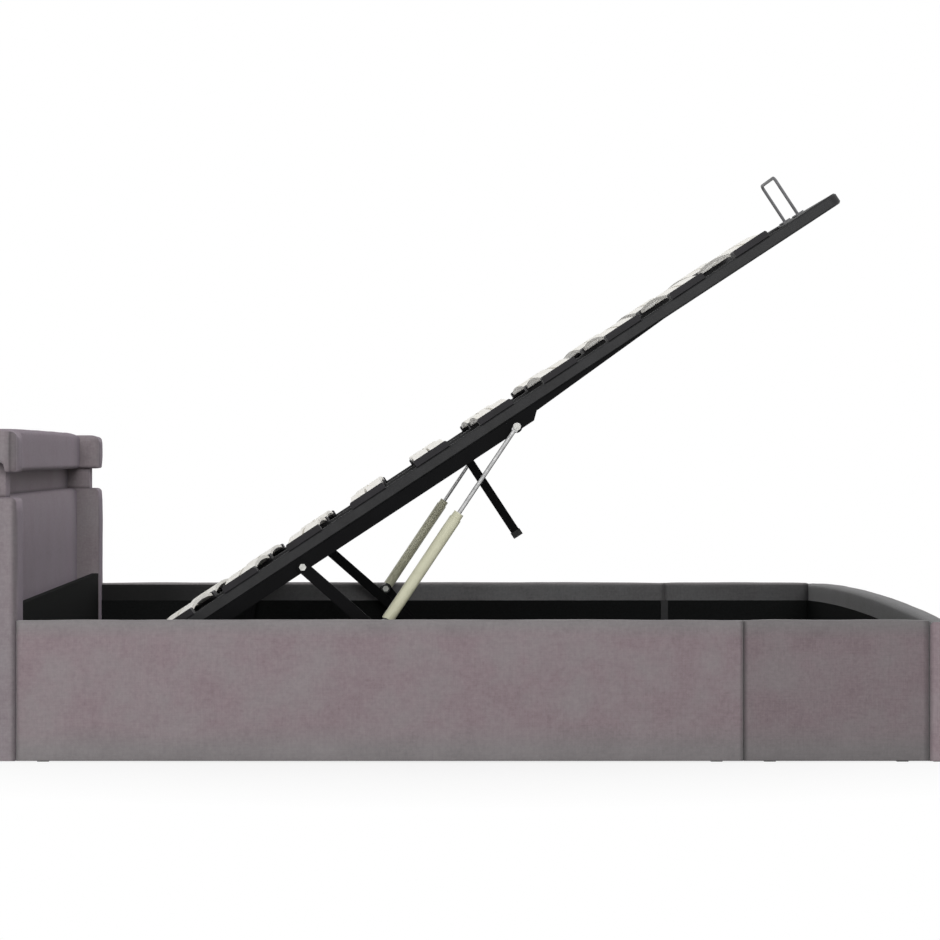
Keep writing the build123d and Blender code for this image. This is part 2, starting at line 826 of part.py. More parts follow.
def leg_tip():
    """Height of the leg's foot from the link pivot: just off the floor when closed."""
    return pivot_drop - closed_tube_bottom + floor_top + leg_floor_clearance


def leg_foot():
    """The rubber cap that the leg stands on."""
    half = leg_size / 2 + leg_foot_wall
    inner = leg_size / 2 + running_clearance
    middle = leg_place()
    tip = leg_tip()
    cap = block((middle - half, -half, tip), (middle + half, half, tip + leg_foot_height))
    space = block((middle - inner, -inner, tip + leg_foot_wall),
                  (middle + inner, inner, tip + leg_foot_height + cut_overrun))
    return lifted(cap - space)


def build():
    os.makedirs("parts", exist_ok=True)
    sides = (("left", -1), ("right", 1))
    write(headboard_backboard(), "headboard_backboard")
    write(headboard_centre(), "headboard_centre_panel")
    write(headboard_cap_centre(), "headboard_cap_centre")
    write(head_inner_board(), "head_inner_board")
    write(footboard(), "footboard")
    write(footboard_lining(), "footboard_lining")
    write(corner_brackets(), "corner_brackets")
    write(bracket_bolts(), "bracket_bolts")
    write(floor_panel(panel_gap, floor_joint_from_head - panel_gap), "floor_panel_head")
    write(floor_panel(floor_joint_from_head + panel_gap, inner_length - lining_thickness - panel_gap),
          "floor_panel_foot")
    write(floor_battens(), "floor_battens")
    write(glides(), "glides")
    write(base_bolts(), "lift_base_bolts")
    write(base_studs(), "lift_base_studs")
    write(link_bolts(), "front_link_bolts")
    write(rear_link_pins(), "rear_link_pins")
    write(strut_top_bolts(), "strut_top_bolts")
    write(strut_base_studs(), "strut_base_studs")
    rail_spans = (("head", 0, rail_joint_from_head - panel_gap),
                  ("foot", rail_joint_from_head + panel_gap, inner_length))
    for name, side in sides:
        write(on_side(headboard_wing(), side), "headboard_wing_" + name)
        write(on_side(headboard_cap_wing(), side), "headboard_cap_" + name)
        for end_name, start, end in rail_spans:
            label = name + "_" + end_name
            write(on_side(side_rail(start, end), side), "side_rail_" + label)
            write(on_side(rail_lining(start, end), side), "rail_lining_" + label)
        write(on_side(joint_plate(), side), "rail_joint_plate_" + name)
        write(on_side(base_plate(), side), "lift_base_plate_" + name)
        write(on_side(flat_link(front_pivot, link_open), side), "front_link_" + name)
        write(on_side(flat_link(rear_pivot, rear_open), side), "rear_link_" + name)
        write(on_side(lifted(lift_arm()), side), "lift_arm_" + name)
        write(on_side(strut_body(), side), "strut_body_" + name)
        write(on_side(strut_rod(), side), "strut_rod_" + name)
        write(on_side(side_tube(), side), "platform_side_tube_" + name)
        write(slat_column(side), "slats_" + name)
    write(head_tube(), "platform_head_tube")
    write(foot_tube(), "platform_foot_tube")
    write(centre_beam(), "platform_centre_beam")
    write(cross_bars(), "platform_cross_bars")
    write(side_holders(), "slat_holders_side")
    write(centre_holders(), "slat_holders_centre")
    write(mattress_retainer(), "mattress_retainer")
    write(centre_leg(), "centre_leg")
    write(leg_foot(), "centre_leg_foot")


def report_motion():
    """Prints the pivots and how far each one turns from the open to the closed platform."""
    for name, pivot in (("front", front_pivot), ("link", link_open), ("rear", rear_pivot),
                        ("rear top", rear_open), ("strut top", strut_top), ("strut base", strut_base)):
        print(name, "pivot x", round(x_at(pivot[0]), 3), "z", round(pivot[1], 3))
    print("front link turns", round(turn_between(front_pivot, link_open, link_closed), 4))
    print("rear link turns", round(turn_between(rear_pivot, rear_open, rear_closed), 4))
    turned = turn_between(strut_base, strut_top, strut_top_closed)
    print("strut turns", round(turned, 4), "from", round(strut_angle, 4))
    print("strut length", round(strut_open_length, 3), "closes to", round(strut_closed_length, 3))
    print("arm outer face", arm_outer_y, "strut", strut_y)


build()
report_motion()
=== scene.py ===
import math
import bmesh
import bpy
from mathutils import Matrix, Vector, noise


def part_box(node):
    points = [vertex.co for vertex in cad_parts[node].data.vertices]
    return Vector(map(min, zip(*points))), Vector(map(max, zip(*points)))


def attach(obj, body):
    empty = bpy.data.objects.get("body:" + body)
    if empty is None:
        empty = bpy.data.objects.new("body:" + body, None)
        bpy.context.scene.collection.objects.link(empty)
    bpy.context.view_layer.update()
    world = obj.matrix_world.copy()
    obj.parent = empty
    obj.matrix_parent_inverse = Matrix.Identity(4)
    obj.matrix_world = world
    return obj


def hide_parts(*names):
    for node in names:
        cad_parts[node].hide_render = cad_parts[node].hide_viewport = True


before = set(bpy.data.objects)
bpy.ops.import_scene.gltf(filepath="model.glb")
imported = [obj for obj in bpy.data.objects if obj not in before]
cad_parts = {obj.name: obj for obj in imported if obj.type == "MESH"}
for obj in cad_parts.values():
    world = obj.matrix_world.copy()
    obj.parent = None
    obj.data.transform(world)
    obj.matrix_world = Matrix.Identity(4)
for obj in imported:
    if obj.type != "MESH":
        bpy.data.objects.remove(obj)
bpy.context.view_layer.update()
print("Frame loaded with", len(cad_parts), "nodes")


# Camera at the photograph's place, level, looking across the bed
view = {"eye": (-0.142, -6.091, 0.69075), "focalPixels": 2354, "framePixels": 940,
        "aheadPixel": (392, 455), "sensorWidth": 36}


def addCamera():
    data = bpy.data.cameras.new("sideCamera")
    size = view["framePixels"]
    data.sensor_width = view["sensorWidth"]
    data.lens = view["focalPixels"] * view["sensorWidth"] / size
    data.shift_x = 0.5 - view["aheadPixel"][0] / size
    data.shift_y = view["aheadPixel"][1] / size - 0.5
    camera = bpy.data.objects.new("sideCamera", data)
    camera.location = view["eye"]
    camera.rotation_euler = (math.radians(90), 0, 0)
    bpy.context.scene.collection.objects.link(camera)
    bpy.context.scene.camera = camera


addCamera()
bpy.context.scene.view_settings.view_transform = "Standard"
print("Camera set")


# Small helpers for shading

def newMaterial(name, roughness, metallic=0.0):
    material = bpy.data.materials.new(name)
    material.use_nodes = True
    shader = material.node_tree.nodes["Principled BSDF"]
    shader.inputs["Roughness"].default_value = roughness
    shader.inputs["Metallic"].default_value = metallic
    return material


def addNode(material, kind, sockets=None, **settings):
    node = material.node_tree.nodes.new(kind)
    for name, value in settings.items():
        setattr(node, name, value)
    for name, value in (sockets or {}).items():
        node.inputs[name].default_value = value
    return node


def join(material, source, target):
    material.node_tree.links.new(source, target)


def objectPlace(material, scale=(1, 1, 1)):
    # Object coordinates, stretched along the axes
    texture = addNode(material, "ShaderNodeTexCoord")
    mapping = addNode(material, "ShaderNodeMapping", {"Scale": scale})
    join(material, texture.outputs["Object"], mapping.inputs["Vector"])
    return mapping.outputs["Vector"]


def noiseValue(material, stretch, scale, detail=3.0, roughness=0.6):
    pattern = addNode(material, "ShaderNodeTexNoise",
                      {"Scale": scale, "Detail": detail, "Roughness": roughness})
    join(material, objectPlace(material, stretch), pattern.inputs["Vector"])
    return pattern.outputs["Fac"]


def waveValue(material, direction, scale):
    pattern = addNode(material, "ShaderNodeTexWave", {"Scale": scale, "Distortion": 0.6,
                                                      "Detail": 1.0, "Detail Scale": 2.0},
                      bands_direction=direction)
    join(material, objectPlace(material), pattern.inputs["Vector"])
    return pattern.outputs["Fac"]


def mixValues(material, parts, base=0.0):
    # Weighted sum of (value, weight) pairs, on a base
    total = None
    for value, weight in parts:
        part = addNode(material, "ShaderNodeMath", operation="MULTIPLY_ADD")
        join(material, value, part.inputs[0])
        part.inputs[1].default_value = weight
        if total is None:
            part.inputs[2].default_value = base
        else:
            join(material, total, part.inputs[2])
        total = part.outputs[0]
    return total


def colourRamp(material, value, stops):
    ramp = addNode(material, "ShaderNodeValToRGB")
    elements = ramp.color_ramp.elements
    while len(elements) < len(stops):
        elements.new(0.5)
    for element, (place, colour) in zip(elements, stops):
        element.position = place
        element.color = (*[linear(channel) for channel in colour], 1)
    join(material, value, ramp.inputs["Fac"])
    return ramp.outputs["Color"]


def linear(channel):
    # From an 8-bit screen value to linear light
    value = channel / 255
    return value / 12.92 if value <= 0.04045 else ((value + 0.055) / 1.055) ** 2.4


def giveColour(material, colour):
    join(material, colour, material.node_tree.nodes["Principled BSDF"].inputs["Base Color"])


def giveBump(material, height, strength, depth):
    bump = addNode(material, "ShaderNodeBump", {"Strength": strength, "Distance": depth})
    join(material, height, bump.inputs["Height"])
    join(material, bump.outputs["Normal"],
         material.node_tree.nodes["Principled BSDF"].inputs["Normal"])


def giveRoughness(material, value, low, high):
    spread = addNode(material, "ShaderNodeMapRange", {"To Min": low, "To Max": high})
    join(material, value, spread.inputs["Value"])
    join(material, spread.outputs["Result"],
         material.node_tree.nodes["Principled BSDF"].inputs["Roughness"])


def giveSocket(material, **sockets):
    shader = material.node_tree.nodes["Principled BSDF"]
    for name, value in sockets.items():
        shader.inputs[name].default_value = value


# Finishes

evenly = (1, 1, 1)  # a pattern that isn't stretched
weave = {"roughness": 0.92, "toneAt": (0.38, 0.54, 0.74), "threadScale": 110.0,
         "fleckScale": 130.0, "slub": 26.0, "slubAcross": 480.0, "patchScale": 9.0, "fleckShare": 0.29,
         "slubShare": 0.12, "patchShare": 0.25, "toneBase": 0.125, "threadRelief": 0.3,
         "fleckRelief": 0.4, "bumpStrength": 0.3, "bumpDepth": 0.001,
         "greyPatches": [(0.42, (0, 0, 0)), (0.64, (195, 195, 195))],
         "greyNearFloor": (0.09, 0.03), "greyNearTop": (0.275, 0.310)}


def placeAlong(material, axis):
    # One of the object coordinates, as a value
    split = addNode(material, "ShaderNodeSeparateXYZ")
    join(material, objectPlace(material), split.inputs[0])
    return split.outputs[axis]


def shadeAlong(material, axis, stops, within=None):
    # Paints shade into the colour along an axis, by (place, share) stops; within is an (axis, least)
    # limit
    shader = material.node_tree.nodes["Principled BSDF"]
    before = shader.inputs["Base Color"].links[0].from_socket
    curve = addNode(material, "ShaderNodeFloatCurve")
    low, high = stops[0][0], stops[-1][0]
    spread = addNode(material, "ShaderNodeMapRange", {"From Min": low, "From Max": high})
    join(material, placeAlong(material, axis), spread.inputs["Value"])
    points = curve.mapping.curves[0].points
    while len(points) < len(stops):
        points.new(0.5, 0.5)
    for point, (place, share) in zip(points, stops):
        point.location = ((place - low) / (high - low), share)
        point.handle_type = "VECTOR"
    curve.mapping.update()
    join(material, spread.outputs["Result"], curve.inputs["Value"])
    blend = addNode(material, "ShaderNodeMix", data_type="RGBA", blend_type="MULTIPLY")
    blend.inputs["Factor"].default_value = 1
    if within:
        size = addNode(material, "ShaderNodeMath", operation="ABSOLUTE")
        join(material, placeAlong(material, within[0]), size.inputs[0])
        limit = addNode(material, "ShaderNodeMath", operation="GREATER_THAN")
        join(material, size.outputs[0], limit.inputs[0])
        limit.inputs[1].default_value = within[1]
        join(material, limit.outputs[0], blend.inputs["Factor"])
    join(material, before, blend.inputs["A"])
    join(material, curve.outputs["Value"], blend.inputs["B"])
    giveColour(material, blend.outputs["Result"])


def wovenCloth(name, dark, middle, light, greyDark, greyLight, greyEdges=False):
    # Plain weave with slubs both ways, and slow patches from mauve to grey
    material = newMaterial(name, weave["roughness"])
    slub, across = weave["slub"], weave["slubAcross"]
    fleck = noiseValue(material, evenly, weave["fleckScale"], detail=5.0, roughness=0.7)
    level = noiseValue(material, (slub, slub, across), scale=1.0)
    upright = noiseValue(material, (across, across, slub), scale=1.0)
    patch = noiseValue(material, evenly, weave["patchScale"], detail=4.0)
    tone = mixValues(material, [(fleck, weave["fleckShare"]), (level, weave["slubShare"]),
                                (upright, weave["slubShare"]), (patch, weave["patchShare"])],
                     weave["toneBase"])
    darkAt, middleAt, lightAt = weave["toneAt"]
    warm = colourRamp(material, tone, [(darkAt, dark), (middleAt, middle), (lightAt, light)])
    cool = colourRamp(material, tone, [(darkAt, greyDark), (lightAt, greyLight)])
    blend = addNode(material, "ShaderNodeMix", data_type="RGBA")
    choice = colourRamp(material, patch, weave["greyPatches"])
    if greyEdges:
        choice = greyTowardsEdges(material, choice)
    join(material, choice, blend.inputs["Factor"])
    join(material, warm, blend.inputs["A"])
    join(material, cool, blend.inputs["B"])
    giveColour(material, blend.outputs["Result"])
    relief = [(waveValue(material, axis, weave["threadScale"]), weave["threadRelief"])
              for axis in "XYZ"]
    relief.append((fleck, weave["fleckRelief"]))
    giveBump(material, mixValues(material, relief), weave["bumpStrength"], weave["bumpDepth"])
    giveSocket(material, **{"Sheen Weight": 0.25, "Sheen Roughness": 0.5,
                            "Specular IOR Level": 0.2})
    return material


def greyTowardsEdges(material, choice):
    # Rails turn greyer near the floor and along their top edges
    height = placeAlong(material, "Z")
    total = choice
    for start, full in (weave["greyNearFloor"], weave["greyNearTop"]):
        part = addNode(material, "ShaderNodeMapRange", {"From Min": start, "From Max": full})
        join(material, height, part.inputs["Value"])
        step = addNode(material, "ShaderNodeMath", operation="MAXIMUM")
        join(material, total, step.inputs[0])
        join(material, part.outputs["Result"], step.inputs[1])
        total = step.outputs[0]
    return total


def mattBoard(name, dark, light):
    # Black non-woven cover or foil on board
    material = newMaterial(name, roughness=0.9)
    giveSocket(material, **{"Specular IOR Level": 0.06})
    fibre = noiseValue(material, evenly, scale=240.0, detail=4.0)
    giveColour(material, colourRamp(material, fibre, [(0.3, dark), (0.75, light)]))
    giveBump(material, fibre, strength=0.2, depth=0.0006)
    return material


def powderCoat(name, dark, light, roughness, gleam):
    # Satin powder coat with its fine orange peel and a little rubbing
    material = newMaterial(name, roughness)
    giveSocket(material, **{"Specular IOR Level": gleam})
    peel = noiseValue(material, evenly, scale=700.0, detail=2.0)
    rub = noiseValue(material, evenly, scale=22.0, detail=6.0, roughness=0.75)
    giveColour(material, colourRamp(material, rub, [(0.35, dark), (0.78, light)]))
    giveRoughness(material, rub, low=roughness - 0.08, high=roughness + 0.12)
    giveBump(material, peel, strength=0.12, depth=0.0004)
    return material


def grainedWood(name, dark, middle, light, stretch, roughness, relief):
    # Fine grain over broad streaks, both drawn out along the board
    material = newMaterial(name, roughness)
    grain = noiseValue(material, stretch, scale=1.0, detail=6.0, roughness=0.65)
    broad = noiseValue(material, tuple(length / 5 for length in stretch), scale=1.0)
    tone = mixValues(material, [(grain, 0.6), (broad, 0.45)])
    giveColour(material, colourRamp(material, tone, [(0.36, dark), (0.52, middle), (0.7, light)]))
    giveRoughness(material, grain, low=roughness - 0.08, high=roughness + 0.1)
    giveBump(material, grain, relief, depth=0.0005)
    return material


def bareMetal(name, dark, light, stretch, low, high):
    # Uncoated metal with cloudy marks, from its smoothest to its dullest
    material = newMaterial(name, low, metallic=1.0)
    marks = noiseValue(material, stretch, scale=1.0, detail=5.0, roughness=0.7)
    giveColour(material, colourRamp(material, marks, [(0.3, dark), (0.75, light)]))
    giveRoughness(material, marks, low, high)
    return material


def mouldedPlastic(name, dark, light, roughness, relief=0.15, gritScale=900.0):
    # Fine grit with a slow bloom, also used for smooth enamel with hardly any relief
    material = newMaterial(name, roughness)
    grit = noiseValue(material, evenly, gritScale, detail=2.0)
    bloom = noiseValue(material, evenly, scale=30.0, detail=4.0)
    giveColour(material, colourRamp(material, bloom, [(0.3, dark), (0.75, light)]))
    giveRoughness(material, bloom, low=roughness - 0.06, high=roughness + 0.1)
    giveBump(material, grit, relief, depth=0.0004)
    return material


def darkenEnd(material, place, reach, colour):
    # The black moulded socket at a strut's lower end, inside a distance from its pivot
    shader = material.node_tree.nodes["Principled BSDF"]
    before = shader.inputs["Base Color"].links[0].from_socket
    flat = addNode(material, "ShaderNodeVectorMath", operation="MULTIPLY")
    join(material, objectPlace(material), flat.inputs[0])
    flat.inputs[1].default_value = (1, 0, 1)
    apart = addNode(material, "ShaderNodeVectorMath", operation="DISTANCE")
    join(material, flat.outputs["Vector"], apart.inputs[0])
    apart.inputs[1].default_value = place
    edge = addNode(material, "ShaderNodeMath", operation="GREATER_THAN")
    join(material, apart.outputs["Value"], edge.inputs[0])
    edge.inputs[1].default_value = reach
    blend = addNode(material, "ShaderNodeMix", data_type="RGBA")
    join(material, edge.outputs[0], blend.inputs["Factor"])
    blend.inputs["A"].default_value = (*[linear(channel) for channel in colour], 1)
    join(material, before, blend.inputs["B"])
    giveColour(material, blend.outputs["Result"])


clothTones = [(108, 95, 99), (127, 114, 118), (144, 131, 134), (107, 103, 104), (134, 129, 130)]
mauveWeave = wovenCloth("mauveWeave", *clothTones)
# Painted shade in a line where the footboard meets the rails
shadeAlong(mauveWeave, "X", [(1.0600, 1), (1.0684, 0.55), (1.0780, 1)])  # footboard's seam

# Painted shade on the rail cloth: dark lines at the seams, a slow darkening towards the foot end and
# towards the floor
railPaintedShade = {"headSeam": [(-0.9885, 0.72), (-0.978, 1)],
             "jointSeam": [(0.639, 1), (0.646, 0.64), (0.653, 0.64), (0.660, 1)],
             "footSeam": [(1.052, 1), (1.062, 0.6), (1.0685, 0.5)],
             "along": [(-0.9, 1), (0.0, 0.93), (0.64, 0.86), (0.66, 0.75), (1.07, 0.72)],
             "upwards": [(0.0, 0.935), (0.12, 0.965), (0.30, 1)],
             "insideShadowAlong": [(-0.99, 0.03), (-0.8, 0.045), (-0.5, 0.22), (-0.15, 0.72),
                             (0.2, 0.78), (1.07, 0.30)]}
railWeave = wovenCloth("railWeave", *clothTones, greyEdges=True)
for part in ("headSeam", "jointSeam", "footSeam", "along"):
    shadeAlong(railWeave, "X", railPaintedShade[part])
shadeAlong(railWeave, "Z", railPaintedShade["upwards"])

# Headboard cloth: its tones, darker tones for the centre cap as painted shade, the stops and limit of
# its painted shade, and the sheen's tint
headShade = {"tones": [(106, 97, 101), (124, 116, 119), (142, 134, 136), (107, 103, 105),
                       (132, 127, 129)],
             "centreCapShadedTones": [(100, 91, 95), (117, 109, 112), (133, 126, 128), (101, 97, 99),
                                (124, 119, 121)],
             "outerSide": 0.785,
             "grooveAndCapShade": [(0.592, 1), (0.596, 0.5), (0.603, 1), (0.640, 1), (0.652, 0.75),
                               (0.68, 0.6)],
             "wingCorner": [(-1.0040, 1), (-1.0000, 0.94), (-0.9938, 0.64), (-0.9880, 0.60)],
             "wingFront": [(-0.9885, 1), (-0.9868, 0.56)],
             "capCorner": [(-1.0160, 1), (-1.0115, 0.88), (-1.0060, 0.78), (-1.0030, 0.45),
                           (-1.0010, 0.45), (-0.9982, 0.6), (-0.9902, 0.76)],
             "capFront": [(-0.9890, 1), (-0.9868, 0.71)],
             "panelUpwards": [(0.36, 0.76), (0.43, 0.75), (0.50, 0.85), (0.56, 0.92), (0.585, 0.98),
                              (0.60, 1)],
             "towardsWings": [(-0.690, 0.30), (-0.655, 0.44), (-0.62, 0.70), (-0.54, 1), (0.54, 1),
                              (0.62, 0.70), (0.655, 0.44), (0.690, 0.30)],
             "sheenTint": (0.78, 0.66, 0.80, 1)}
uprightWeave = wovenCloth("uprightWeave", *headShade["tones"])
centreWeave = wovenCloth("centreWeave", *headShade["tones"])
capWeave = wovenCloth("capWeave", *headShade["tones"])
# The centre cap takes the darker tones, as painted shade
centreCapWeave = wovenCloth("centreCapWeave", *headShade["centreCapShadedTones"])
# Painted shade: a dark line in the groove under the necks, and the necks darken under the caps
for cloth in (uprightWeave, centreWeave):
    shadeAlong(cloth, "Z", headShade["grooveAndCapShade"])
# Painted shade: the corners are darker on the wings' outer sides only
shadeAlong(uprightWeave, "X", headShade["wingCorner"], within=("Y", headShade["outerSide"]))
shadeAlong(capWeave, "X", headShade["capCorner"], within=("Y", headShade["outerSide"]))
# Painted shade on the front faces of the wings and the wing caps
shadeAlong(uprightWeave, "X", headShade["wingFront"])
shadeAlong(capWeave, "X", headShade["capFront"])
# Painted shade: the centre panel darkens towards its bottom
shadeAlong(centreWeave, "Z", headShade["panelUpwards"])
# Painted shade: the centre panel and centre cap darken towards the wings
for cloth in (centreWeave, centreCapWeave):
    shadeAlong(cloth, "Y", headShade["towardsWings"])
for cloth in (uprightWeave, centreWeave, capWeave, centreCapWeave):
    giveSocket(cloth, **{"Sheen Tint": headShade["sheenTint"]})

# Painted shade: a darker grey copy of the cloth for the footboard's inner face and the inner part of
# its top
footWeave = wovenCloth("footWeave", dark=(66, 65, 66), middle=(91, 90, 91), light=(111, 110, 111),
                       greyDark=(64, 65, 66), greyLight=(105, 106, 107))
# Painted shade: a darker grey copy of the rail cloth for the rails' inner faces, with a painted shadow
# of the platform that deepens towards the head end
charcoalWeave = wovenCloth("charcoalWeave", dark=(88, 87, 88), middle=(110, 109, 110),
                           light=(130, 129, 130), greyDark=(86, 87, 88), greyLight=(122, 123, 124))
for part in ("jointSeam", "footSeam", "insideShadowAlong"):
    shadeAlong(charcoalWeave, "X", railPaintedShade[part])

blackBoard = mattBoard("blackBoard", dark=(10, 11, 11), light=(20, 21, 21))
satinBlack = powderCoat("satinBlack", dark=(25, 25, 26), light=(38, 38, 39), roughness=0.42, gleam=0.2)
greyWire = powderCoat("greyWire", dark=(88, 88, 90), light=(108, 108, 110), roughness=0.4, gleam=0.3)
mattBlack = powderCoat("mattBlack", dark=(5, 5, 6), light=(11, 11, 12), roughness=0.55, gleam=0.05)
paleBirch = grainedWood("paleBirch", dark=(244, 240, 229), middle=(250, 247, 239),
                        light=(253, 251, 246), stretch=(240, 6, 240), roughness=0.45, relief=0.03)
sawnPine = grainedWood("sawnPine", dark=(150, 116, 74), middle=(182, 148, 102),
                       light=(206, 178, 134), stretch=(160, 4, 160), roughness=0.8, relief=0.15)
strutSocket = {"pivot": (-0.160, 0, 0.304), "reach": 0.017, "colour": (16, 16, 16)}
creamEnamel = mouldedPlastic("creamEnamel", dark=(170, 169, 145), light=(184, 183, 160),
                             roughness=0.3, relief=0.02, gritScale=90.0)
giveSocket(creamEnamel, **{"Coat Weight": 0.4, "Coat Roughness": 0.15})
darkenEnd(creamEnamel, strutSocket["pivot"], strutSocket["reach"], strutSocket["colour"])
groundRod = bareMetal("groundRod", dark=(150, 150, 150), light=(196, 196, 196),
                      stretch=(60, 60, 60), low=0.24, high=0.34)
zincPlate = bareMetal("zincPlate", dark=(150, 150, 147), light=(192, 192, 187),
                      stretch=(45, 45, 45), low=0.28, high=0.46)
blackNylon = mouldedPlastic("blackNylon", dark=(18, 17, 19), light=(30, 28, 32), roughness=0.5)
giveSocket(blackNylon, **{"Specular IOR Level": 0.2})
blackRubber = mouldedPlastic("blackRubber", dark=(18, 18, 18), light=(30, 30, 30), roughness=0.8)
print("Finishes made")


def finish(material, *nodeNames):
    for nodeName in nodeNames:
        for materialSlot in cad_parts[nodeName].material_slots:
            materialSlot.material = material


finish(blackBoard, "head_inner_board", "footboard_lining", "floor_panel_head", "floor_panel_foot",
       "rail_lining_left_head", "rail_lining_left_foot", "rail_lining_right_head",
       "rail_lining_right_foot")
finish(sawnPine, "floor_battens")
finish(blackNylon, "glides", "slat_holders_side", "slat_holders_centre")
finish(zincPlate, "corner_brackets", "bracket_bolts", "lift_base_bolts", "lift_base_studs",
       "front_link_bolts", "rear_link_pins", "strut_top_bolts", "strut_base_studs")
finish(mattBlack, "lift_base_plate_left", "lift_base_plate_right", "front_link_left",
       "front_link_right", "rear_link_left", "rear_link_right", "lift_arm_left",
       "lift_arm_right", "centre_leg")
finish(satinBlack, "platform_side_tube_left", "platform_side_tube_right", "platform_head_tube",
       "platform_foot_tube", "platform_centre_beam", "platform_cross_bars",
       "rail_joint_plate_left", "rail_joint_plate_right")
finish(greyWire, "mattress_retainer")
finish(creamEnamel, "strut_body_left", "strut_body_right")
finish(groundRod, "strut_rod_left", "strut_rod_right")
finish(paleBirch, "slats_left", "slats_right")
finish(blackRubber, "centre_leg_foot")
print("Frame finished")


# Small helpers for modelling

def leaveEditing():
    if bpy.context.object and bpy.context.object.mode != "OBJECT":
        bpy.ops.object.mode_set(mode="OBJECT")
    bpy.ops.object.select_all(action="DESELECT")


def workOn(piece):
    leaveEditing()
    bpy.context.view_layer.objects.active = piece
    piece.select_set(True)
    bpy.ops.object.mode_set(mode="EDIT")


def addBlock(name, low, high):
    # A block between two corners, open for editing
    leaveEditing()
    low, high = Vector(low), Vector(high)
    bpy.ops.mesh.primitive_cube_add(size=1, location=(low + high) / 2)
    block = bpy.context.object
    block.name = name
    block.scale = high - low
    bpy.ops.object.transform_apply(location=True, rotation=True, scale=True)
    workOn(block)
    return block


def pick(block, kind, test):
    # Selects the vertices, edges or faces whose place and normal pass a test
    bpy.ops.mesh.select_mode(type=kind)
    bpy.ops.mesh.select_all(action="DESELECT")
    mesh = bmesh.from_edit_mesh(block.data)
    parts = {"VERT": mesh.verts, "EDGE": mesh.edges, "FACE": mesh.faces}[kind]
    for part in parts:
        if kind == "VERT":
            place = part.co
        else:
            place = sum((corner.co for corner in part.verts), Vector()) / len(part.verts)
        if test(place, part):
            part.select_set(True)
    bmesh.update_edit_mesh(block.data)


sameWithin = 0.0004
# How far along an axis a normal points when its face counts as facing, sloping or leaning that way
facing, sloping, leaning = 0.7, 0.5, 0.3


def near(first, second):
    return abs(first - second) < sameWithin


def edgeRuns(edge, axis):
    # Whether an edge runs along an axis
    run = edge.verts[1].co - edge.verts[0].co
    return abs(run[axis]) > 0.9 * run.length


def sliceAt(place, normal):
    bpy.ops.mesh.select_all(action="SELECT")
    bpy.ops.mesh.bisect(plane_co=place, plane_no=normal)


def sliceEvenly(low, high, spacing):
    # Cuts a piece across all three axes into cells of about one spacing
    for axis in range(3):
        count = max(1, round((high[axis] - low[axis]) / spacing))
        normal = [0, 0, 0]
        normal[axis] = 1
        for number in range(1, count):
            place = list(low)
            place[axis] = low[axis] + (high[axis] - low[axis]) * number / count
            sliceAt(place, normal)


padLook = {"squareness": 8, "rippleScale": 7, "fineScale": 23, "fineShare": 1 / 3}


def crownFaces(piece, low, high, rise, pucker, held):
    # Pads each face out between its edges, and lets the cloth ripple a little
    middle = (Vector(low) + Vector(high)) / 2
    half = (Vector(high) - Vector(low)) / 2
    piece.data.update()
    moves = []
    for vertex in piece.data.vertices:
        normal = vertex.normal
        axis = max(range(3), key=lambda number: abs(normal[number]))
        if held(vertex.co, normal):
            moves.append(Vector())
            continue
        swell = 1.0
        for other in range(3):
            if other != axis:
                share = min(1.0, abs(vertex.co[other] - middle[other]) / half[other])
                swell *= 1 - share ** padLook["squareness"]
        ripple = noise.noise(vertex.co * padLook["rippleScale"])
        ripple += noise.noise(vertex.co * padLook["fineScale"]) * padLook["fineShare"]
        moves.append(normal * (swell * (rise + ripple * pucker)))
    for vertex, move in zip(piece.data.vertices, moves):
        vertex.co += move


def applyModifiers(piece):
    leaveEditing()
    bpy.context.view_layer.objects.active = piece
    piece.select_set(True)
    for modifier in list(piece.modifiers):
        bpy.ops.object.modifier_apply(modifier=modifier.name)


def smoothShade(piece, angle=40):
    leaveEditing()
    bpy.context.view_layer.objects.active = piece
    piece.select_set(True)
    bpy.ops.object.shade_smooth_by_angle(angle=math.radians(angle))


def dress(piece, material, nodeName):
    piece.data.materials.append(material)
    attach(piece, "base")
    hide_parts(nodeName)


# Rail panels: board wrapped in foam and cloth, soft along the top and at the seam

railLook = {"topRound": 0.010, "seamRound": 0.007, "footRound": 0.004, "cell": 0.022,
            "rise": 0.0022, "pucker": 0.0012}


def railPanel(nodeName, side):
    low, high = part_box(nodeName)
    outer = high.y if side > 0 else low.y
    panel = addBlock(nodeName + "_cloth", low, high)
    pick(panel, "EDGE", lambda place, edge: edgeRuns(edge, 2) and near(place.y, outer))
    bpy.ops.mesh.bevel(offset=railLook["seamRound"], segments=3, affect="EDGES")
    pick(panel, "EDGE", lambda place, edge: edgeRuns(edge, 0) and near(place.z, high.z))
    bpy.ops.mesh.bevel(offset=railLook["topRound"], segments=4, affect="EDGES")
    pick(panel, "EDGE", lambda place, edge: edgeRuns(edge, 0) and near(place.z, low.z))
    bpy.ops.mesh.bevel(offset=railLook["footRound"], segments=2, affect="EDGES")
    sliceEvenly(low, high, railLook["cell"])
    leaveEditing()
    crownFaces(panel, low, high, railLook["rise"], railLook["pucker"],
               lambda place, normal: abs(normal.x) > facing or normal.z < -facing
               or normal.y * side < 0)
    panel.data.materials.append(railWeave)
    panel.data.materials.append(charcoalWeave)
    # The inner faces take the darker cloth, as painted shade
    for face in panel.data.polygons:
        if face.normal.y * side < -facing:
            face.material_index = 1
    smoothShade(panel)
    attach(panel, "base")
    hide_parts(nodeName)


for sideName, side in (("left", -1), ("right", 1)):
    for endName in ("head", "foot"):
        railPanel("side_rail_" + sideName + "_" + endName, side)
print("Rails covered")


# Footboard with its shallow arch

footLook = {"edgeRound": 0.010, "cell": 0.022, "rise": 0.002, "pucker": 0.001,
            "sideTop": 0.3145, "arch": 0.018, "topBand": 0.001}


